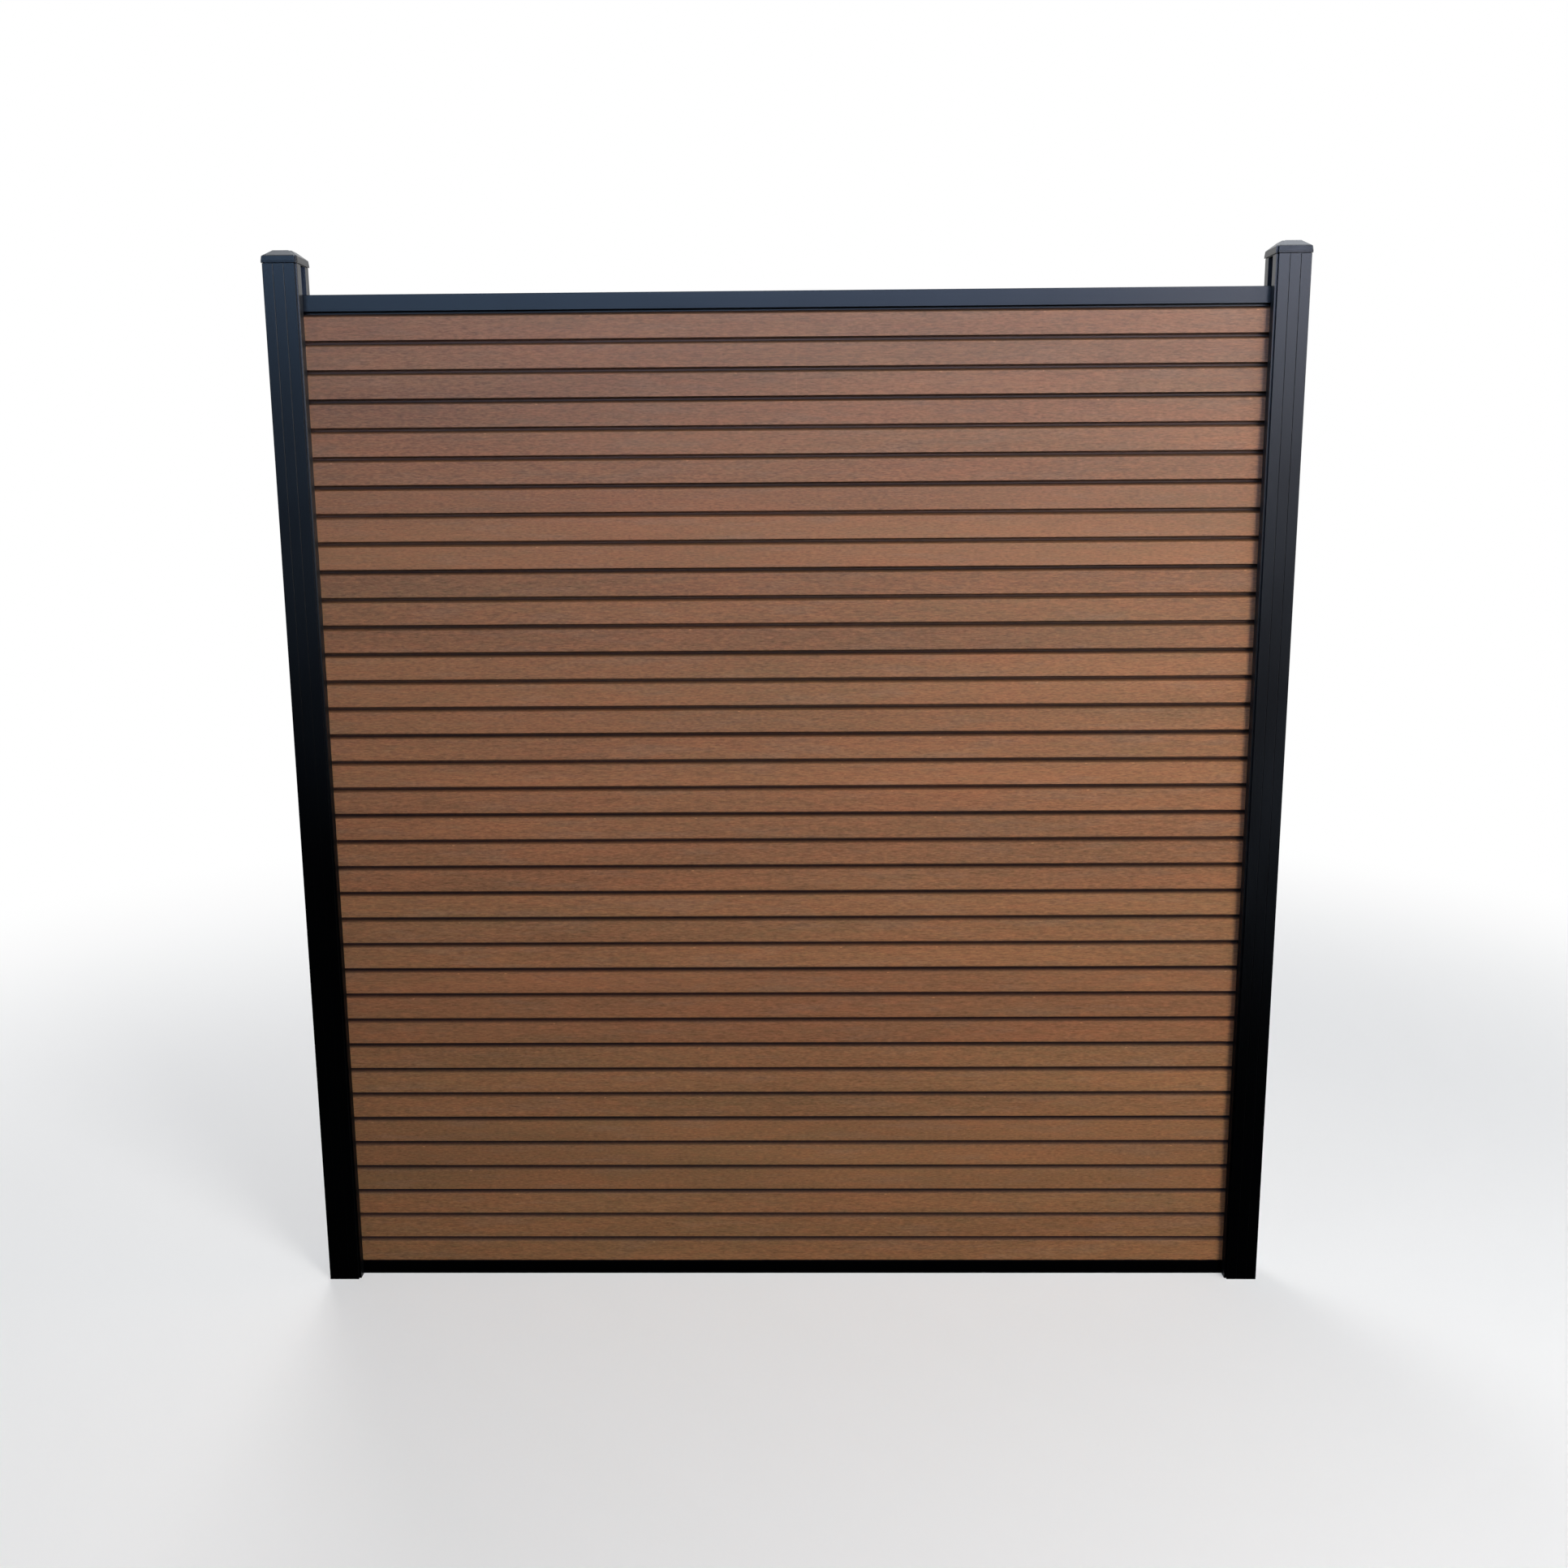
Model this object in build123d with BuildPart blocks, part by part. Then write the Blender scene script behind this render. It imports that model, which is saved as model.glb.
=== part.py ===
# Slatted fence panel: twelve wood composite boards, each carrying three rhombus slats, stacked
# tongue in groove between two slotted aluminium posts and closed by a top rail and a bottom rail.
# X runs along the fence, Y from the front to the back, Z up. The origin is on the ground, midway
# between the posts and in the middle of their depth. All sizes are in millimetres.
import os

from build123d import *

os.makedirs("parts", exist_ok=True)

# Whole panel
overall_width = 1800.0  # between the outer faces of the two posts
board_count = 12
slats_per_board = 3

# Rhombus slats
slat_pitch = 50.0
slat_gap = 10.0  # height of the groove's mouth between two slats
groove_depth = 10.0  # from the slat faces to the web behind them
groove_rise = 5.5  # how far the slanted edges climb from the face to the web
slat_top_radius = 1.4
slat_drip_radius = 0.5

# Boards
board_thickness = 20.0
tongue_thickness = 4.0
tongue_height = 8.0
tongue_side_clearance = 0.3
tongue_end_clearance = 0.5
back_joint_chamfer = 1.2

# Rails
rail_wall = 2.0
top_rail_height = 28.0  # visible face of the top rail
bottom_rail_height = 28.0  # from the ground to the lowest slat's drip edge
bottom_rail_drip_gap = 1.5
rail_edge_radius = 0.8
rail_skirt_clearance = 0.5  # between the top rail's skirt and the slat below it

# Posts
post_width = 60.0
post_depth = 60.0
post_wall = 2.0
post_rebate = 4.0  # square step that runs down the two corners beside the slot
post_corner_radius = 1.0
post_above_rail = 50.0
face_groove_width = 1.2
face_groove_count = 2  # fine lines that part the front face and the back face in equal bands
slot_depth = 24.0
slot_insert = 20.0  # how far boards and rails reach into the slot
slot_clearance = 0.5  # in front of the boards and behind them

# Screw ports, round holes that run the length of the post for a base plate's screws
port_radius = 2.75
port_wall = 2.5
port_edge = 7.0  # from the outer, front and back faces to a port's axis
port_slot_offset = 21.0  # from the slotted face to the axis of the ports beside the slot

# Post caps
cap_seam_height = 1.2  # shadow line over the post
cap_seam_depth = 0.8
cap_lip_height = 3.5
cap_overhang = 1.6  # of the lip, past the post's faces
cap_band_height = 7.8  # over the lip, leaning in a little
cap_band_lean = 0.9
cap_edge = 1.5  # bevel between the band and the roof
cap_corner = 2.0  # bevel on the two corners away from the slot
cap_top_rise = 10.0
cap_top_inset = 13.5
cap_wall = 2.5  # from the post's faces in to the cap's hollow
cap_lug_depth = 15.0
cap_lug_wall = 2.0
cap_lug_clearance = 0.25

# Screws that hold the rails to the posts, driven in from the back
screw_radius = 2.4
screw_hole_clearance = 0.1
screw_head_radius = 4.75
screw_head_height = 3.0
screw_head_bevel = 1.0
screw_drive_width = 3.0
screw_drive_depth = 1.4
screw_reach = 5.0  # past the rail's rear wall

# Places that follow from the sizes above
board_cover = slats_per_board * slat_pitch
face_height = slat_pitch - slat_gap
front_y = -board_thickness / 2
back_y = board_thickness / 2
web_y = front_y + groove_depth
tongue_y = (web_y + back_y) / 2
tongue_slot_width = tongue_thickness + 2 * tongue_side_clearance
tongue_slot_depth = tongue_height + tongue_end_clearance
opening_width = overall_width - 2 * post_width
board_length = opening_width + 2 * slot_insert
stack_top = bottom_rail_height + board_count * board_cover
rail_seat = stack_top + groove_rise
top_rail_top = stack_top + top_rail_height
post_height = top_rail_top + post_above_rail
slot_width = board_thickness + 2 * slot_clearance
port_reach = port_radius + port_wall
screw_x = overall_width / 2 - post_width + slot_insert / 2
top_chamber_bottom = rail_seat + tongue_slot_depth + rail_wall
top_screw_z = (top_chamber_bottom + top_rail_top - rail_wall) / 2
bottom_rail_shelf = bottom_rail_height - bottom_rail_drip_gap
cap_roof = post_height + cap_seam_height + cap_lip_height + cap_band_height + cap_edge
bottom_screw_z = bottom_rail_shelf / 2


def board_points(base):
    """Outline of one board as (y, z) points, from its drip edge up the front and down the back."""
    points = []
    for slat in range(slats_per_board):
        foot = base + slat * slat_pitch
        points.append((front_y, foot))
        points.append((front_y, foot + face_height))
        points.append((web_y, foot + face_height + groove_rise))
        points.append((web_y, foot + slat_pitch + groove_rise))
    seat = base + groove_rise
    crown = seat + board_cover
    points.append((tongue_y - tongue_thickness / 2, crown))
    points.append((tongue_y - tongue_thickness / 2, crown + tongue_height))
    points.append((tongue_y + tongue_thickness / 2, crown + tongue_height))
    points.append((tongue_y + tongue_thickness / 2, crown))
    points.append((back_y, crown))
    points.append((back_y, seat))
    points.append((tongue_y + tongue_slot_width / 2, seat))
    points.append((tongue_y + tongue_slot_width / 2, seat + tongue_slot_depth))
    points.append((tongue_y - tongue_slot_width / 2, seat + tongue_slot_depth))
    points.append((tongue_y - tongue_slot_width / 2, seat))
    points.append((web_y, seat))
    return points


def make_board(base):
    """One board with its drip edge at the height base, its slat edges softened."""
    with BuildPart() as board:
        with BuildSketch(Plane.YZ.offset(-board_length / 2)) as section:
            with BuildLine():
                Polyline(*board_points(base), close=True)
            make_face()
            slat_corners = section.vertices().group_by(Axis.X)[0].sort_by(Axis.Y)
            drip_edges = slat_corners[0::2]
            top_edges = slat_corners[1::2]
            fillet(drip_edges, slat_drip_radius)
            fillet(top_edges, slat_top_radius)
            chamfer(section.vertices().group_by(Axis.X)[-1], back_joint_chamfer)
        extrude(amount=board_length)
    return board.part


def yz_box(y_low, y_high, z_low, z_high, mode=Mode.ADD):
    """A rectangle in a sketch on the YZ plane, given by its limits."""
    with Locations(((y_low + y_high) / 2, (z_low + z_high) / 2)):
        Rectangle(y_high - y_low, z_high - z_low, mode=mode)


def cut_screw_holes(places, start_y, depth):
    """Round holes for the rail screws at (x, z) places, from start_y towards the front."""
    from_axis = (Align.CENTER, Align.CENTER, Align.MIN)
    with Locations(Plane.XZ.offset(-start_y)):
        with Locations(*places):
            Cylinder(screw_radius + screw_hole_clearance, depth, align=from_axis, mode=Mode.SUBTRACT)


def make_top_rail():
    """Hollow rail over the top board's tongue, with a lip in front and a skirt in the last groove."""
    skirt_low = stack_top - slat_gap + groove_rise + rail_skirt_clearance
    with BuildPart() as rail:
        with BuildSketch(Plane.YZ.offset(-board_length / 2)) as section:
            yz_box(front_y, back_y, rail_seat, top_rail_top)
            yz_box(front_y, front_y + rail_wall, stack_top, rail_seat)
            fillet(section.vertices().group_by(Axis.Y)[-1], rail_edge_radius)
            yz_box(web_y - rail_wall, web_y, skirt_low, rail_seat)
            yz_box(
                tongue_y - tongue_slot_width / 2,
                tongue_y + tongue_slot_width / 2,
                rail_seat,
                rail_seat + tongue_slot_depth,
                mode=Mode.SUBTRACT,
            )
            yz_box(
                front_y + rail_wall,
                back_y - rail_wall,
                top_chamber_bottom,
                top_rail_top - rail_wall,
                mode=Mode.SUBTRACT,
            )
            yz_box(
                front_y + rail_wall,
                tongue_y - tongue_slot_width / 2 - rail_wall,
                rail_seat + rail_wall,
                top_chamber_bottom - rail_wall,
                mode=Mode.SUBTRACT,
            )
        extrude(amount=board_length)
        cut_screw_holes([(-screw_x, top_screw_z), (screw_x, top_screw_z)], back_y, rail_wall)
    return rail.part


def make_bottom_rail():
    """Hollow rail on the ground, with a shoulder and a tongue that carry the lowest board."""
    seat = bottom_rail_height + groove_rise
    with BuildPart() as rail:
        with BuildSketch(Plane.YZ.offset(-board_length / 2)) as section:
            yz_box(front_y, back_y, 0, bottom_rail_shelf)
            fillet(section.vertices(), rail_edge_radius)
            yz_box(web_y, back_y, bottom_rail_shelf - rail_wall, seat)
            yz_box(
                tongue_y - tongue_thickness / 2,
                tongue_y + tongue_thickness / 2,
                seat,
                seat + tongue_height,
            )
            yz_box(
                front_y + rail_wall,
                back_y - rail_wall,
                rail_wall,
                bottom_rail_shelf - rail_wall,
                mode=Mode.SUBTRACT,
            )
            yz_box(
                web_y + rail_wall,
                back_y - rail_wall,
                bottom_rail_shelf - rail_wall,
                seat - rail_wall,
                mode=Mode.SUBTRACT,
            )
        extrude(amount=board_length)
        cut_screw_holes([(-screw_x, bottom_screw_z), (screw_x, bottom_screw_z)], back_y, rail_wall)
    return rail.part


def post_plane(side, height):
    """Plane at a post's centre, with its X axis towards the panel."""
    centre_x = side * (overall_width - post_width) / 2
    return Plane(origin=(centre_x, 0, height), x_dir=(-side, 0, 0), z_dir=(0, 0, 1))


def post_outline(grow=0.0):
    """The post's outline, grown or shrunk, with the steps on the corners beside the slot."""
    width = post_width + 2 * grow
    depth = post_depth + 2 * grow
    step = (width - post_rebate) / 2, (depth - post_rebate) / 2
    with BuildSketch() as outline:
        Rectangle(width, depth)
        with Locations(step, (step[0], -step[1])):
            Rectangle(post_rebate, post_rebate, mode=Mode.SUBTRACT)
    return outline.sketch


def cap_outline(grow):
    """The same outline for the cap, with its two far corners bevelled."""
    with BuildSketch() as outline:
        add(post_outline(grow))
        chamfer(outline.vertices().group_by(Axis.X)[0], cap_corner)
    return outline.sketch


def make_post(side):
    """Hollow slotted extrusion. The side is -1 on the left and 1 on the right."""
    slot_face = post_width / 2
    band = (post_width - post_rebate) / (face_groove_count + 1)
    port_columns = (-post_width / 2 + port_edge, slot_face - port_slot_offset)
    port_row = post_depth / 2 - port_edge
    with BuildPart() as post:
        with BuildSketch(post_plane(side, 0)) as section:
            add(post_outline())
            fillet(section.vertices().group_by(Axis.X)[0], post_corner_radius)
            add(post_outline(-post_wall), mode=Mode.SUBTRACT)
            with Locations((slot_face - (slot_depth + post_wall) / 2, 0)):
                Rectangle(slot_depth + post_wall, slot_width + 2 * post_wall)
            with Locations((slot_face - slot_depth / 2, 0)):
                Rectangle(slot_depth, slot_width, mode=Mode.SUBTRACT)
            for column in port_columns:
                with Locations((column, -port_row), (column, port_row)):
                    Circle(port_reach)
            for column in port_columns:
                with Locations((column, -port_row), (column, port_row)):
                    Circle(port_radius, mode=Mode.SUBTRACT)
            for line in range(1, face_groove_count + 1):
                across = line * band - post_width / 2
                with Locations((across, -post_depth / 2), (across, post_depth / 2)):
                    Rectangle(
                        face_groove_width / 2**0.5,
                        face_groove_width / 2**0.5,
                        rotation=45,
                        mode=Mode.SUBTRACT,
                    )
        extrude(amount=post_height)
        places = [(side * screw_x, bottom_screw_z), (side * screw_x, top_screw_z)]
        cut_screw_holes(places, post_depth / 2, (post_depth - slot_width) / 2)
    return post.part


def make_cap(side):
    """Cap with a lip over the post, a leaning band, a low four-sided roof and a lug inside."""
    lip_low = post_height + cap_seam_height
    lip_high = lip_low + cap_lip_height
    band_high = lip_high + cap_band_height
    band_grow = cap_overhang - cap_band_lean
    roof_grow = band_grow - cap_edge
    lug_slot_side = post_width / 2 - slot_depth - post_wall - cap_lug_clearance
    lug_far_side = -post_width / 2 + port_edge + port_reach + cap_lug_clearance
    lug_depth_y = post_depth - 2 * post_wall - 2 * cap_lug_clearance
    with BuildPart() as cap:
        with BuildSketch(post_plane(side, post_height)):
            add(cap_outline(-cap_seam_depth))
        extrude(amount=cap_seam_height)
        with BuildSketch(post_plane(side, lip_low)):
            add(cap_outline(cap_overhang))
        extrude(amount=cap_lip_height)
        for low, low_grow, high, high_grow in (
            (lip_high, cap_overhang, band_high, band_grow),
            (band_high, band_grow, cap_roof, roof_grow),
            (cap_roof, roof_grow, cap_roof + cap_top_rise, -cap_top_inset),
        ):
            with BuildSketch(post_plane(side, low)):
                add(cap_outline(low_grow))
            with BuildSketch(post_plane(side, high)):
                add(cap_outline(high_grow))
            loft(ruled=True)
        with BuildSketch(post_plane(side, post_height)):
            add(post_outline(-cap_wall))
        extrude(amount=cap_roof - post_height, mode=Mode.SUBTRACT)
        with BuildSketch(post_plane(side, cap_roof)):
            add(post_outline(-cap_wall))
        with BuildSketch(post_plane(side, cap_roof + cap_top_rise - cap_wall)):
            add(post_outline(-cap_top_inset - cap_wall / 2))
        loft(ruled=True, mode=Mode.SUBTRACT)
        with BuildSketch(post_plane(side, post_height - cap_lug_depth)):
            with Locations(((lug_far_side + lug_slot_side) / 2, 0)):
                Rectangle(lug_slot_side - lug_far_side, lug_depth_y)
                Rectangle(
                    lug_slot_side - lug_far_side - 2 * cap_lug_wall,
                    lug_depth_y - 2 * cap_lug_wall,
                    mode=Mode.SUBTRACT,
                )
        extrude(amount=cap_lug_depth + cap_roof - post_height)
    return cap.part


def make_screws():
    """Four pan head screws through the back of the posts into the rails' ends."""
    shank_length = post_depth / 2 - back_y + rail_wall + screw_reach
    places = [
        (x, z) for x in (-screw_x, screw_x) for z in (bottom_screw_z, top_screw_z)
    ]
    with BuildPart() as screws:
        with BuildSketch(Plane.XZ.offset(-post_depth / 2)):
            with Locations(*places):
                Circle(screw_radius)
        extrude(amount=shank_length)
        with BuildSketch(Plane.XZ.offset(-post_depth / 2)):
            with Locations(*places):
                Circle(screw_head_radius)
        extrude(amount=-screw_head_height)
        head_rims = screws.edges().filter_by(GeomType.CIRCLE).group_by(Axis.Y)[-1]
        chamfer(head_rims, screw_head_bevel)
        with BuildSketch(Plane.XZ.offset(-post_depth / 2 - screw_head_height)):
            with Locations(*places):
                RegularPolygon(screw_drive_width / 2, 6)
        extrude(amount=screw_drive_depth, mode=Mode.SUBTRACT)
    return screws.part


def save(part, name):
    """Label a finished piece and write it as its own file."""
    part.label = name
    export_step(part, f"parts/{name}.step")


for number in range(1, board_count + 1):
    save(make_board(bottom_rail_height + (number - 1) * board_cover), f"board_{number:02d}")
save(make_bottom_rail(), "bottom_rail")
save(make_top_rail(), "top_rail")
for side, word in ((-1, "left"), (1, "right")):
    save(make_post(side), f"{word}_post")
    save(make_cap(side), f"{word}_post_cap")
save(make_screws(), "rail_screws")
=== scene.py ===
# Looks of the slatted fence panel: brushed wood composite boards between powder coated aluminium
# posts and rails, with plastic caps. Everything is in metres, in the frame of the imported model.
import math

import bpy
from mathutils import Matrix, Vector


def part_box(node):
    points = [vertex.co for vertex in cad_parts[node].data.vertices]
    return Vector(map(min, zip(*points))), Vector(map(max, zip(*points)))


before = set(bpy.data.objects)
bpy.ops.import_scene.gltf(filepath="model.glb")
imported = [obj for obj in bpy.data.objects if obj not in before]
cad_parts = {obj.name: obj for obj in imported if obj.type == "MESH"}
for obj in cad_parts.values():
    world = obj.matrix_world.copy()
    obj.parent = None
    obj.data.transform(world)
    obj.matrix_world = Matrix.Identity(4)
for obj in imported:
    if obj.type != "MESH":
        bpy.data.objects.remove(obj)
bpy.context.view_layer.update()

# Camera, as fitted to the posts, the slats and the grooves of the photograph
photo_side = 1932.0
focal_length = 1600.0  # in pixels of the photograph
view_centre = (958.8, 870.0)  # pixel that the camera's axis goes through
sensor_width = 36.0
camera_place = (0.01336, -2.34726, 1.50185)
camera_yaw = -0.01284
camera_pitch = 0.15939
camera_roll = 0.00757

# Measures of the grooves and slots, which the frame's boxes don't give
slats_per_board = 3
groove_depth = 0.010
groove_rise = 0.0055  # of the slanted edges, from the face to the web
slat_gap = 0.010
slot_depth = 0.024

# Measures read from the frame
board_count = sum(1 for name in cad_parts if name.startswith("board_"))
board_low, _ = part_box("board_01")
next_low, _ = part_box("board_02")
top_board_low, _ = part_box(f"board_{board_count:02d}")
left_post_low, left_post_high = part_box("left_post")
_, rail_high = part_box("top_rail")
stack_base = board_low.z
board_cover = next_low.z - board_low.z
slat_pitch = board_cover / slats_per_board
face_y = board_low.y
slot_mouth = -left_post_high.x  # from the middle of the panel
outer_x = -left_post_low.x
back_y = left_post_high.y


class Graph:
    """Adds nodes to a material or world, one short call each."""

    def __init__(self, tree):
        self.tree = tree

    def node(self, kind, **settings):
        """A new node with its properties set."""
        made = self.tree.nodes.new(kind)
        for key, value in settings.items():
            setattr(made, key, value)
        return made

    def feed(self, socket, value):
        """Link an output to a socket, or set the socket to a plain value."""
        if isinstance(value, bpy.types.NodeSocket):
            self.tree.links.new(value, socket)
        elif value is not None:
            socket.default_value = value

    def math(self, operation, a, b=None, c=None, clamp=False):
        """One step of arithmetic."""
        made = self.node("ShaderNodeMath", operation=operation, use_clamp=clamp)
        for socket, value in zip(made.inputs, (a, b, c)):
            self.feed(socket, value)
        return made.outputs[0]

    def vector_math(self, operation, a, b):
        """One step of vector arithmetic."""
        made = self.node("ShaderNodeVectorMath", operation=operation)
        self.feed(made.inputs[0], a)
        self.feed(made.inputs[1], b)
        return made.outputs[0]

    def ramp(self, value, low, high, to_low=0.0, to_high=1.0):
        """The value carried smoothly from one range to another, and held outside it."""
        made = self.node("ShaderNodeMapRange", interpolation_type="SMOOTHSTEP")
        for socket, given in zip(made.inputs, (value, low, high, to_low, to_high)):
            self.feed(socket, given)
        return made.outputs[0]

    def swing(self, noise, strength, base):
        """The base, moved either way by noise about 0.5."""
        return self.math("MULTIPLY_ADD", self.math("SUBTRACT", noise, 0.5), strength, base)

    def scaled(self, vector, scale):
        """A place, scaled by one number or by one for each direction."""
        factors = scale if isinstance(scale, tuple) else (scale, scale, scale)
        return self.vector_math("MULTIPLY", vector, factors)

    def noise(self, vector, detail=2.0, roughness=0.5):
        """Soft noise about 0.5, at the scale that its vector brings."""
        made = self.node("ShaderNodeTexNoise")
        self.feed(made.inputs["Vector"], vector)
        made.inputs["Scale"].default_value = 1.0
        made.inputs["Detail"].default_value = detail
        made.inputs["Roughness"].default_value = roughness
        return made.outputs[0]

    def random(self, number):
        """A random value and a random colour for each whole number."""
        made = self.node("ShaderNodeTexWhiteNoise", noise_dimensions="1D")
        self.feed(made.inputs["W"], number)
        return made.outputs["Value"], made.outputs["Color"]

    def mix(self, factor, a, b, blend="MIX"):
        """Two colours mixed. The node's colour sockets share their names, so they go by number."""
        factor_in, first_in, second_in, colour_out = 0, 6, 7, 2
        made = self.node("ShaderNodeMix", data_type="RGBA", blend_type=blend)
        self.feed(made.inputs[factor_in], factor)
        self.feed(made.inputs[first_in], a)
        self.feed(made.inputs[second_in], b)
        return made.outputs[colour_out]

    def combine(self, x, y, z):
        """A vector from three numbers."""
        made = self.node("ShaderNodeCombineXYZ")
        for socket, value in zip(made.inputs, (x, y, z)):
            self.feed(socket, value)
        return made.outputs[0]

    def place(self):
        """The surface's own place in the object, as a vector and as x, y and z."""
        where = self.node("ShaderNodeTexCoord").outputs["Object"]
        split = self.node("ShaderNodeSeparateXYZ")
        self.feed(split.inputs[0], where)
        return where, split.outputs[0], split.outputs[1], split.outputs[2]

    def bump(self, height, distance, strength=1.0):
        """A bumped normal, from a height between 0 and 1 and its real depth."""
        made = self.node("ShaderNodeBump")
        self.feed(made.inputs["Height"], height)
        made.inputs["Distance"].default_value = distance
        made.inputs["Strength"].default_value = strength
        return made.outputs[0]


# Sheen of the posts, rails and caps
plain_sheen = 0.22  # of the back and outer faces, which mirror only the pale surroundings
top_painted_sheen = (0.012, 0.014, 0.018, 1.0)  # even tone painted on faces that look straight up, in place of their sheen
coat_tops = (0.4, 0.8)  # upward share of the normal at which the coat goes over to that
cap_tops = (0.85, 0.96)
straight_fade = (0.55, 1.25)  # heights between which the colour and the straight sheen are painted darker towards the ground
glancing_fade = (0.6, 1.7)
fade_least = 0.12  # share of colour and sheen that is left at the ground under the painted shade
fade_lean = 0.25  # metres of height for each metre along the panel
glancing_span = (0.3, 0.75)  # how far a face is turned away, where its sheen grows
plane_margin = 0.0004  # how near to a plane a face still counts as lying in it


def painted_ground_shade(graph, x, z, heights):
    """Painted shade: a share that falls towards the ground, for a dark ground mirrored there, and sets
    in higher up on the left.
    """
    height = graph.math("MULTIPLY_ADD", x, fade_lean, z)
    return graph.ramp(height, *heights, fade_least, 1.0)


def looks_up(graph, tops):
    """1 on faces that look straight up, falling to 0 as they lean over."""
    normal = graph.node("ShaderNodeSeparateXYZ")
    graph.feed(normal.inputs[0], graph.node("ShaderNodeNewGeometry").outputs["Normal"])
    return graph.ramp(normal.outputs[2], *tops)


def glancing_sheen(graph, shader, place, straight, glancing, tops):
    """A specular level that grows from a straight view to a glancing one.

    The back and outer faces have an even level, and faces that look straight up have none. Towards the
    ground the level is painted darker.
    """
    x, y, z = place
    straight_here = graph.math("MULTIPLY", painted_ground_shade(graph, x, z, straight_fade), straight)
    glancing_here = graph.math("MULTIPLY", painted_ground_shade(graph, x, z, glancing_fade), glancing)
    turned = graph.node("ShaderNodeLayerWeight").outputs["Facing"]
    level = graph.ramp(turned, *glancing_span, straight_here, glancing_here)
    outer = graph.math("GREATER_THAN", graph.math("ABSOLUTE", x), outer_x - plane_margin)
    rear = graph.math("GREATER_THAN", y, back_y - plane_margin)
    hidden = graph.math("MAXIMUM", outer, rear)
    shown_level = graph.math("MULTIPLY", level, graph.math("SUBTRACT", 1.0, hidden))
    hidden_level = graph.math("MULTIPLY", hidden, plain_sheen)
    level = graph.math("ADD", shown_level, hidden_level)
    level = graph.math("MULTIPLY", level, graph.math("SUBTRACT", 1.0, looks_up(graph, tops)))
    graph.feed(shader.inputs["Specular IOR Level"], level)


def new_material(name, roughness, specular):
    """A material, its graph and its shader. The even values hold where no link replaces them."""
    material = bpy.data.materials.new(name)
    material.use_nodes = True
    shader = material.node_tree.nodes["Principled BSDF"]
    shader.inputs["Roughness"].default_value = roughness
    shader.inputs["Specular IOR Level"].default_value = specular
    return material, Graph(material.node_tree), shader


# Colours of the boards, linear
red_brown = (0.300, 0.118, 0.047, 1.0)
olive_brown = (0.205, 0.108, 0.043, 1.0)
grey_brown = (0.225, 0.126, 0.070, 1.0)
painted_upper_veil = (0.195, 0.116, 0.078, 1.0)  # painted shade and sky veil that the upper boards go over to
groove_painted_shade = (0.068, 0.042, 0.025, 1.0)  # painted shade at the back of a slant, as a share of the face's colour
groove_painted_sky = (0.10, 0.12, 0.18, 1.0)  # the same in the upper boards, tinted as painted sky light
web_painted_shade_and_sky = (0.22, 0.25, 0.40, 1.0)  # and on the web, painted shade with a bluish painted sky tint
joint_shade = 0.72  # factor on the grooves over a board's last slat
dark_board = 3.0  # counted from 0 at the bottom
dark_board_tone = 0.82
half_step = 0.5  # margin when whole numbers are compared
plain = (1.0, 1.0, 1.0, 1.0)

# Grain of the boards: waves for each metre along and across, then the noise's detail and roughness
drift_grain = (2.2, 17.0, 2.0, 0.5)
patch_grain = (13.0, 75.0, 3.0, 0.6)
fleck_grain = (55.0, 240.0, 2.0, 0.6)
grey_grain = (7.0, 48.0, 3.0, 0.6)
streak_grain = (20.0, 330.0, 3.0, 0.62)
fibre_grain = (110.0, 640.0, 3.0, 0.65)
dash_grain = (38.0, 540.0, 2.0, 0.5)
glow_grain = (1.3, 11.0, 2.0, 0.5)

# How far the grains and the chance of each board and slat move the tone, from red to olive brown
tone_middle = 0.32
drift_tone = 1.0
patch_tone = 0.85
fleck_tone = 0.9
board_tone_reach = 0.35

# How far they move the light, where 1 leaves a colour as it is
streak_light = 0.44
fibre_light = 1.4
glow_light = 0.4
slat_light = 0.09
board_light = 0.12
dash_span = (0.58, 0.76)  # of the grain, where short dark dashes set in
dash_dark = 0.74
grey_span = (0.48, 0.72)  # of the grain, where grey patches set in
grey_most = 0.42
upper_veil_span = (1.3, 1.85)  # heights between which the boards go over to the painted shade and sky veil
upper_veil_most = 0.38

# Numbers that set the chance of boards, slats and chips apart
board_tone_seed = 0.37
board_shade_seed = 80.71
slat_seed = 40.13
chip_seed = 61.7
board_shift = (37.0, 19.0, 53.0)

# Where the painted shade of the grooves changes
groove_sky_span = (0.9, 1.75)  # heights between which the grooves' painted shade takes on painted sky light
fall_span = (0.3, 1.7)  # heights between which the painted shade gets softer, where the grooves are lit from above
fall_low = 2.3
fall_high = 1.2
web_span = (-0.0006, -0.0001)  # distances from the web's plane, between which its painted tone sets in
rear_span = (0.0005, 0.002)  # and those between which it ends
joint_span = (0.1, 0.7)  # of the groove's depth, where the joint's tone sets in

# Sheen and relief of the boards
board_sheen = 0.036
board_rough = 0.5
streak_rough = 0.16
fibre_relief = 0.4
streak_relief = 0.6
board_relief_depth = 0.0004
board_relief_strength = 0.6

# Small wear: pale chips along the slats' top edges, and one fine line down the top board
chip_cell = 0.09
chip_share = 0.14  # of the cells along a slat that have a chip
chip_size = (0.0032, 0.0011)  # half of a chip's length and height
chip_core = 0.5  # share of that size that is fully pale
chip_lift = 0.7
chip_drop = 1.5  # half heights from the slat's top edge to a chip's middle
line_x = 0.0195
line_width = 0.0012
line_edge = (0.3, 0.7)  # of its width, where it fades out to either side
line_lift = 0.16


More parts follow.
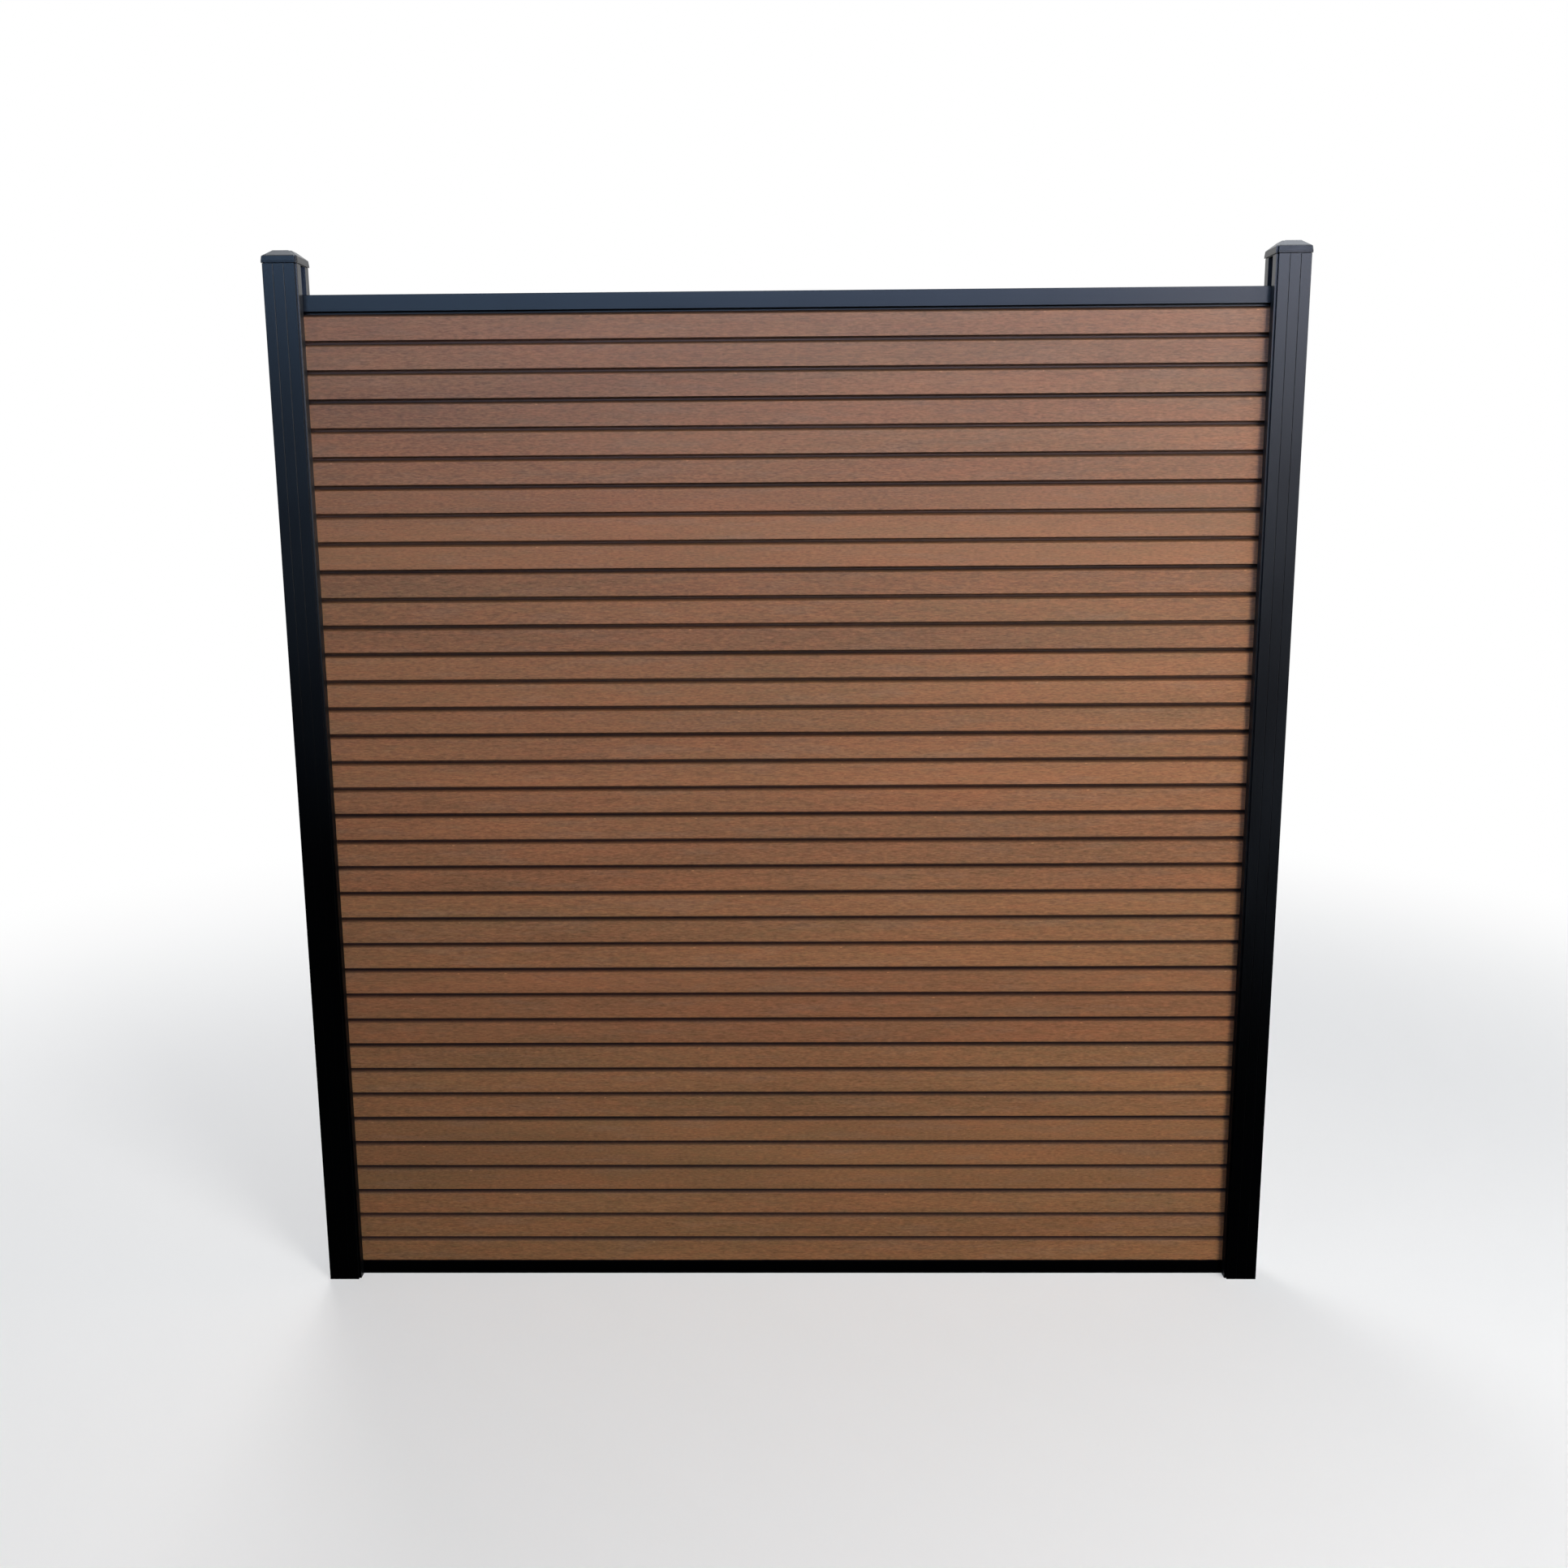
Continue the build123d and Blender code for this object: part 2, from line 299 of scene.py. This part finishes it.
def chips(graph, x, height, slat):
    """1 in the middle of sparse small chips just under the slats' top edges, 0 elsewhere."""
    cell = graph.math("FLOOR", graph.math("DIVIDE", x, chip_cell))
    chance, spread = graph.random(graph.math("MULTIPLY_ADD", slat, chip_seed, cell))
    place = graph.node("ShaderNodeSeparateXYZ")
    graph.feed(place.inputs[0], spread)
    chip_x = graph.math("MULTIPLY", graph.math("ADD", cell, place.outputs[0]), chip_cell)
    above = graph.math("MULTIPLY", graph.math("ADD", slat, 1.0), slat_pitch)
    chip_z = graph.math("SUBTRACT", above, slat_gap + chip_drop * chip_size[1])
    across = graph.math("DIVIDE", graph.math("SUBTRACT", x, chip_x), chip_size[0])
    up = graph.math("DIVIDE", graph.math("SUBTRACT", height, chip_z), chip_size[1])
    far = graph.math("SQRT", graph.math("MULTIPLY_ADD", across, across, graph.math("MULTIPLY", up, up)))
    mark = graph.ramp(far, chip_core, 1.0, 1.0, 0.0)
    return graph.math("MULTIPLY", mark, graph.math("LESS_THAN", chance, chip_share))


def board_material():
    """Brushed wood composite: streaks along the board, tones that drift, grooves darkened with painted
    shade.
    """
    material, graph, shader = new_material("brushed_composite", roughness=0.6, specular=board_sheen)
    where, x, y, z = graph.place()

    # Height above the lowest drip edge, followed back along the grooves' slanted edges
    depth = graph.math("DIVIDE", graph.math("SUBTRACT", y, face_y), groove_depth, clamp=True)
    climb = graph.math("MULTIPLY", depth, groove_rise)
    height = graph.math("SUBTRACT", graph.math("SUBTRACT", z, climb), stack_base)
    board = graph.math("FLOOR", graph.math("DIVIDE", height, board_cover))
    slat = graph.math("FLOOR", graph.math("DIVIDE", height, slat_pitch))
    board_tone, board_offset = graph.random(graph.math("ADD", board, board_tone_seed))
    board_shade, _ = graph.random(graph.math("ADD", board, board_shade_seed))
    slat_tone, _ = graph.random(graph.math("ADD", slat, slat_seed))
    shift = graph.scaled(board_offset, board_shift)

    def grain(kind):
        """Noise drawn out along the board."""
        along, across, detail, roughness = kind
        stretched = graph.scaled(where, (along, across, across))
        return graph.noise(graph.vector_math("ADD", stretched, shift), detail, roughness)

    drift = grain(drift_grain)
    patch = grain(patch_grain)
    fleck = grain(fleck_grain)
    grey = grain(grey_grain)
    streak = grain(streak_grain)
    fibre = grain(fibre_grain)
    dash = grain(dash_grain)
    glow = grain(glow_grain)

    tone = graph.swing(drift, drift_tone, tone_middle)
    tone = graph.swing(patch, patch_tone, tone)
    tone = graph.swing(fleck, fleck_tone, tone)
    tone = graph.math("MULTIPLY_ADD", board_tone, board_tone_reach, tone, clamp=True)
    colour = graph.mix(tone, red_brown, olive_brown)
    colour = graph.mix(graph.ramp(grey, *grey_span, 0.0, grey_most), colour, grey_brown)
    # Painted shade and sky veil: the upper boards are coloured greyer towards the top
    colour = graph.mix(graph.ramp(z, *upper_veil_span, 0.0, upper_veil_most), colour, painted_upper_veil)

    light = graph.swing(streak, streak_light, 1.0)
    light = graph.swing(fibre, fibre_light, light)
    light = graph.swing(glow, glow_light, light)
    light = graph.swing(slat_tone, slat_light, light)
    light = graph.swing(board_shade, board_light, light)
    light = graph.math("MULTIPLY", light, graph.ramp(dash, *dash_span, 1.0, dash_dark))
    is_dark = graph.math("COMPARE", board, dark_board, half_step)
    board_factor = graph.math("MULTIPLY_ADD", is_dark, dark_board_tone - 1.0, 1.0)
    light = graph.math("MULTIPLY", light, board_factor)
    light = graph.math("MULTIPLY_ADD", chips(graph, x, height, slat), chip_lift, light)
    off_line = graph.math("ABSOLUTE", graph.math("SUBTRACT", x, line_x))
    on_line = graph.ramp(off_line, line_edge[0] * line_width, line_edge[1] * line_width, line_lift, 0.0)
    on_board = graph.math("GREATER_THAN", z, top_board_low.z)
    light = graph.math("MULTIPLY_ADD", on_line, on_board, light)
    colour = graph.mix(1.0, colour, graph.combine(light, light, light), "MULTIPLY")

    # Grooves: painted shade, deepest at the back of each slanted edge, then on the web, then the plain
    # rear parts
    deep = graph.mix(graph.ramp(z, *groove_sky_span), groove_painted_shade, groove_painted_sky)
    fall = graph.ramp(z, *fall_span, fall_low, fall_high)
    open_share = graph.math("POWER", graph.math("SUBTRACT", 1.0, depth), fall)
    shade = graph.mix(open_share, deep, plain)
    from_web = graph.math("SUBTRACT", y, face_y + groove_depth)
    shade = graph.mix(graph.ramp(from_web, *web_span), shade, web_painted_shade_and_sky)
    place_in_board = graph.math("FLOORED_MODULO", slat, float(slats_per_board))
    at_joint = graph.math("GREATER_THAN", place_in_board, slats_per_board - 1 - half_step)
    joint_share = graph.math("MULTIPLY", at_joint, graph.ramp(depth, *joint_span))
    joint_dark = graph.math("MULTIPLY_ADD", joint_share, joint_shade - 1.0, 1.0)
    joint_colour = graph.combine(joint_dark, joint_dark, joint_dark)
    shade = graph.mix(1.0, shade, joint_colour, "MULTIPLY")
    shade = graph.mix(graph.ramp(from_web, *rear_span), shade, plain)
    colour = graph.mix(1.0, colour, shade, "MULTIPLY")
    graph.feed(shader.inputs["Base Color"], colour)

    rough = graph.math("MULTIPLY_ADD", streak, streak_rough, board_rough)
    graph.feed(shader.inputs["Roughness"], rough)
    streaks = graph.math("MULTIPLY", streak, streak_relief)
    relief = graph.math("MULTIPLY_ADD", fibre, fibre_relief, streaks)
    normal = graph.bump(relief, board_relief_depth, board_relief_strength)
    graph.feed(shader.inputs["Normal"], normal)
    return material


# The coat: its colours, its sheen and the scales of its noise, in waves for each metre
coat_dark = (0.0007, 0.0010, 0.0016, 1.0)
coat_light = (0.0015, 0.0022, 0.0033, 1.0)
slot_painted_sky = (0.040, 0.055, 0.095, 1.0)  # painted sky light inside the slots, which only see the sky
coat_straight = 0.025
coat_glancing = 0.56
coat_cloud_scale = (9.0, 9.0, 4.0)
coat_skin_scale = 900.0
coat_speck_scale = 420.0
cloud_span = (0.35, 0.65)  # of the noise, from the dark to the light colour
speck_span = (0.66, 0.78)
speck_most = 0.35
coat_rough = 0.32
coat_cloud_rough = 0.08
coat_skin_depth = 0.00003
skin_strength = 0.5  # of the coat's and the caps' bump
slot_margin = 0.0002  # by which the slot's painted sky light reaches into its walls
slot_wall_margin = 0.0008

# The left post's lip, whose normal leans over as if it were rolled
lip_width = 0.004
lip_gap = 0.0125  # from the boards' face to the back of the lip
lip_reach = 0.7  # half of the stretch that leans, in lip widths
lip_roll = 0.9  # lean of the normal at the slot


def rolled_lip(graph, x, y, normal):
    """The normal, leaning over at the left post's lip, which mirrors the bright side."""
    across = graph.math("DIVIDE", graph.math("ADD", x, slot_mouth + lip_width), lip_width)
    from_middle = graph.math("ABSOLUTE", graph.math("SUBTRACT", across, lip_reach))
    near = graph.math("LESS_THAN", from_middle, lip_reach)
    on_lip = graph.math("MULTIPLY", near, graph.math("LESS_THAN", y, face_y - lip_gap))
    roll = graph.math("MULTIPLY", graph.math("MULTIPLY", on_lip, across), lip_roll)
    rolled = graph.vector_math("ADD", normal, graph.combine(roll, 0.0, 0.0))
    return graph.vector_math("NORMALIZE", rolled, None)


def coat_material():
    """Satin powder coat on aluminium, with the fine skin that such a coat has."""
    material, graph, shader = new_material("powder_coat", roughness=0.4, specular=coat_straight)
    where, x, y, z = graph.place()
    cloud = graph.noise(graph.scaled(where, coat_cloud_scale), detail=3.0)
    skin = graph.noise(graph.scaled(where, coat_skin_scale), detail=1.0)
    speck = graph.noise(graph.scaled(where, coat_speck_scale), detail=1.0)
    colour = graph.mix(graph.ramp(cloud, *cloud_span), coat_dark, coat_light)
    lift = graph.ramp(speck, *speck_span, 0.0, speck_most)
    colour = graph.mix(lift, colour, coat_light)
    # Painted sky light: the slots above the rail get a lighter navy tone
    slot_middle = slot_mouth + slot_depth / 2
    from_middle = graph.math("ABSOLUTE", graph.math("SUBTRACT", graph.math("ABSOLUTE", x), slot_middle))
    past_mouth = graph.math("LESS_THAN", from_middle, slot_depth / 2 + slot_margin)
    within = graph.math("LESS_THAN", graph.math("ABSOLUTE", y), slot_wall_margin - face_y)
    above_rail = graph.math("GREATER_THAN", z, rail_high.z)
    in_slot = graph.math("MULTIPLY", graph.math("MULTIPLY", past_mouth, within), above_rail)
    colour = graph.mix(in_slot, colour, slot_painted_sky)
    # Painted sheen: faces that look straight up get an even, lighter tone in place of it
    colour = graph.mix(looks_up(graph, coat_tops), colour, top_painted_sheen)
    # Painted shade: the coat's colour darkens towards the ground
    share = painted_ground_shade(graph, x, z, straight_fade)
    colour = graph.mix(1.0, colour, graph.combine(share, share, share), "MULTIPLY")
    normal = rolled_lip(graph, x, y, graph.bump(skin, coat_skin_depth, skin_strength))
    graph.feed(shader.inputs["Normal"], normal)
    graph.feed(shader.inputs["Base Color"], colour)
    rough = graph.math("MULTIPLY_ADD", cloud, coat_cloud_rough, coat_rough)
    graph.feed(shader.inputs["Roughness"], rough)
    glancing_sheen(graph, shader, (x, y, z), coat_straight, coat_glancing, coat_tops)
    return material


cap_dark = (0.0008, 0.0011, 0.0016, 1.0)
cap_light = (0.0018, 0.0024, 0.0034, 1.0)
cap_straight = 0.018
cap_glancing = 0.46
cap_cloud_scale = 40.0
cap_skin_scale = 1400.0
cap_rough = 0.3
cap_cloud_rough = 0.12
cap_skin_depth = 0.00004


def cap_material():
    """Moulded plastic of the caps, a little smoother than the coat."""
    material, graph, shader = new_material("cap_plastic", roughness=0.36, specular=cap_straight)
    where, x, y, z = graph.place()
    cloud = graph.noise(graph.scaled(where, cap_cloud_scale), detail=3.0)
    skin = graph.noise(graph.scaled(where, cap_skin_scale), detail=1.0)
    plastic = graph.mix(cloud, cap_dark, cap_light)
    # Painted sheen: faces that look straight up get an even, lighter tone in place of it
    colour = graph.mix(looks_up(graph, cap_tops), plastic, top_painted_sheen)
    graph.feed(shader.inputs["Base Color"], colour)
    rough = graph.math("MULTIPLY_ADD", cloud, cap_cloud_rough, cap_rough)
    graph.feed(shader.inputs["Roughness"], rough)
    normal = rolled_lip(graph, x, y, graph.bump(skin, cap_skin_depth, skin_strength))
    graph.feed(shader.inputs["Normal"], normal)
    glancing_sheen(graph, shader, (x, y, z), cap_straight, cap_glancing, cap_tops)
    return material


screw_dark = (0.010, 0.011, 0.013, 1.0)
screw_worn = (0.060, 0.062, 0.066, 1.0)
screw_wear_scale = 700.0
screw_wear_span = (0.55, 0.72)  # of the noise, where the wear sets in
screw_rough = 0.32
screw_wear_rough = 0.2


def screw_material():
    """Black coated steel, worn a little on the heads."""
    material, graph, shader = new_material("screw_coat", roughness=0.42, specular=0.5)
    where = graph.place()[0]
    wear = graph.noise(graph.scaled(where, screw_wear_scale), detail=3.0, roughness=0.7)
    colour = graph.mix(graph.ramp(wear, *screw_wear_span), screw_dark, screw_worn)
    graph.feed(shader.inputs["Base Color"], colour)
    rough = graph.math("MULTIPLY_ADD", wear, screw_wear_rough, screw_rough)
    graph.feed(shader.inputs["Roughness"], rough)
    return material


def dress(material, *names):
    """Give a material to whole nodes."""
    for name in names:
        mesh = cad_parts[name].data
        mesh.materials.clear()
        mesh.materials.append(material)


boards = [f"board_{number:02d}" for number in range(1, board_count + 1)]
dress(board_material(), *boards)
dress(coat_material(), "left_post", "right_post", "top_rail", "bottom_rail")
dress(cap_material(), "left_post_cap", "right_post_cap")
dress(screw_material(), "rail_screws")


def show_rays(graph):
    """1 for rays that see the background: from the camera, in gloss and through glass."""
    path = graph.node("ShaderNodeLightPath")
    seen = graph.math("MAXIMUM", path.outputs["Is Camera Ray"], path.outputs["Is Glossy Ray"])
    return graph.math("MAXIMUM", seen, path.outputs["Is Transmission Ray"])


floor_radius = 30.0
floor_points = 96
floor_seen = (0.94, 0.94, 0.94, 1.0)
floor_bounce = (0.30, 0.27, 0.22, 1.0)
floor_near_glow = 0.35  # share of plain white in the floor near the panel, for seen rays
floor_glow_span = (1.6, 3.8)  # distances between which it grows to plain white


def make_floor():
    """Plain pale floor that fades into the white behind it."""
    ring = []
    for step in range(floor_points):
        angle = 2 * math.pi * step / floor_points
        ring.append((floor_radius * math.cos(angle), floor_radius * math.sin(angle), 0.0))
    mesh = bpy.data.meshes.new("floor")
    mesh.from_pydata(ring, [], [list(range(floor_points))])
    floor = bpy.data.objects.new("floor", mesh)
    bpy.context.scene.collection.objects.link(floor)
    material, graph, shader = new_material("pale_floor", roughness=0.9, specular=0.0)
    length = graph.node("ShaderNodeVectorMath", operation="LENGTH")
    graph.feed(length.inputs[0], graph.place()[0])
    far = graph.ramp(length.outputs["Value"], *floor_glow_span, floor_near_glow, 1.0)
    seen = show_rays(graph)
    graph.feed(shader.inputs["Base Color"], graph.mix(seen, floor_bounce, floor_seen))
    glow = graph.node("ShaderNodeEmission")
    blend = graph.node("ShaderNodeMixShader")
    graph.feed(blend.inputs[0], graph.math("MULTIPLY", far, seen))
    graph.feed(blend.inputs[1], shader.outputs[0])
    graph.feed(blend.inputs[2], glow.outputs[0])
    output = material.node_tree.nodes["Material Output"]
    graph.feed(output.inputs["Surface"], blend.outputs[0])
    mesh.materials.append(material)


sky_high = (0.62, 0.70, 0.82, 1.0)
sky_low = (0.10, 0.10, 0.10, 1.0)
seen_white = (1.0, 1.0, 1.0, 1.0)
sky_rise = (-0.1, 0.6)  # upward share of a direction, from the low to the high colour
ambient = 0.38


def make_world():
    """White where the background is seen, and soft light from above for everything else."""
    world = bpy.data.worlds.new("studio")
    bpy.context.scene.world = world
    world.use_nodes = True
    graph = Graph(world.node_tree)
    background = world.node_tree.nodes["Background"]
    direction = graph.node("ShaderNodeTexCoord").outputs["Generated"]
    split = graph.node("ShaderNodeSeparateXYZ")
    graph.feed(split.inputs[0], direction)
    sky = graph.mix(graph.ramp(split.outputs[2], *sky_rise), sky_low, sky_high)
    seen = show_rays(graph)
    graph.feed(background.inputs["Color"], graph.mix(seen, sky, seen_white))
    strength = graph.math("MULTIPLY_ADD", seen, 1.0 - ambient, ambient)
    graph.feed(background.inputs["Strength"], strength)


def make_lamp(name, place, target, size, level, colour, sheen_only=False):
    """A soft lamp that gives its target the level, where 1 shows a colour as written.

    It lights either the colours or, as a sheen, only what mirrors it.
    """
    data = bpy.data.lights.new(name, "AREA")
    data.shape = "RECTANGLE"
    data.size, data.size_y = size
    data.color = colour
    aim = Vector(target) - Vector(place)
    data.energy = level * (math.pi * aim.length) ** 2
    lamp = bpy.data.objects.new(name, data)
    lamp.location = place
    lamp.rotation_euler = aim.to_track_quat("-Z", "Y").to_euler()
    lamp.visible_camera = False
    lamp.visible_diffuse = not sheen_only
    lamp.visible_glossy = sheen_only
    bpy.context.scene.collection.objects.link(lamp)


def make_camera():
    """The photograph's own view."""
    data = bpy.data.cameras.new("photo_camera")
    data.sensor_width = sensor_width
    data.lens = focal_length * sensor_width / photo_side
    data.shift_x = (photo_side / 2 - view_centre[0]) / photo_side
    data.shift_y = (view_centre[1] - photo_side / 2) / photo_side
    camera = bpy.data.objects.new("photo_camera", data)
    turn = Matrix.Rotation(-camera_yaw, 4, "Z")
    tip = Matrix.Rotation(math.pi / 2 - camera_pitch, 4, "X")
    lean = Matrix.Rotation(-camera_roll, 4, "Z")
    camera.matrix_world = Matrix.Translation(camera_place) @ turn @ tip @ lean
    bpy.context.scene.collection.objects.link(camera)
    bpy.context.scene.camera = camera


make_floor()
make_world()
make_camera()

# What the lamps aim at, and their colours
panel_middle = (0.0, 0.0, 1.1)
rail_middle = (0.0, 0.0, 1.85)
left_post_upper = (-0.87, 0.0, 1.6)
left_boards_upper = (-0.7, 0.0, 1.75)
warm = (1.0, 0.98, 0.95)
amber = (1.0, 0.82, 0.62)
blush = (1.0, 0.93, 0.96)
sky_blue = (0.40, 0.64, 1.03)
pale_violet = (0.64, 0.56, 0.72)
pale_blue = (0.84, 0.90, 1.0)

# Lamps that light the colours
make_lamp("key_lamp", (2.5, -3.1, 2.0), panel_middle, (1.4, 1.4), 0.85, warm)
make_lamp("fill_lamp", (-1.5, -1.6, 2.9), left_boards_upper, (1.2, 1.2), 0.15, amber)
make_lamp("rear_lamp", (-1.6, 3.4, 3.2), panel_middle, (2.4, 2.4), 0.55, warm)

# Bright bands of the sky that the coat and the caps mirror, and that light nothing else
make_lamp("sun_sheen", (2.5, -3.6, 2.8), panel_middle, (1.4, 1.4), 2.8, blush, sheen_only=True)
make_lamp("sky_sheen", (-0.15, -5.5, 3.8), rail_middle, (7.2, 1.2), 13.4, sky_blue, sheen_only=True)
make_lamp("pale_sheen", (1.5, -5.5, 3.8), rail_middle, (4.0, 1.2), 2.7, pale_violet, sheen_only=True)
make_lamp("roof_sheen", (0.3, 1.7, 5.1), rail_middle, (5.4, 2.0), 1.15, pale_blue, sheen_only=True)
make_lamp("side_sheen", (3.8, -1.8, 2.9), left_post_upper, (1.6, 2.4), 4.8, warm, sheen_only=True)

bpy.context.scene.view_settings.view_transform = "Standard"
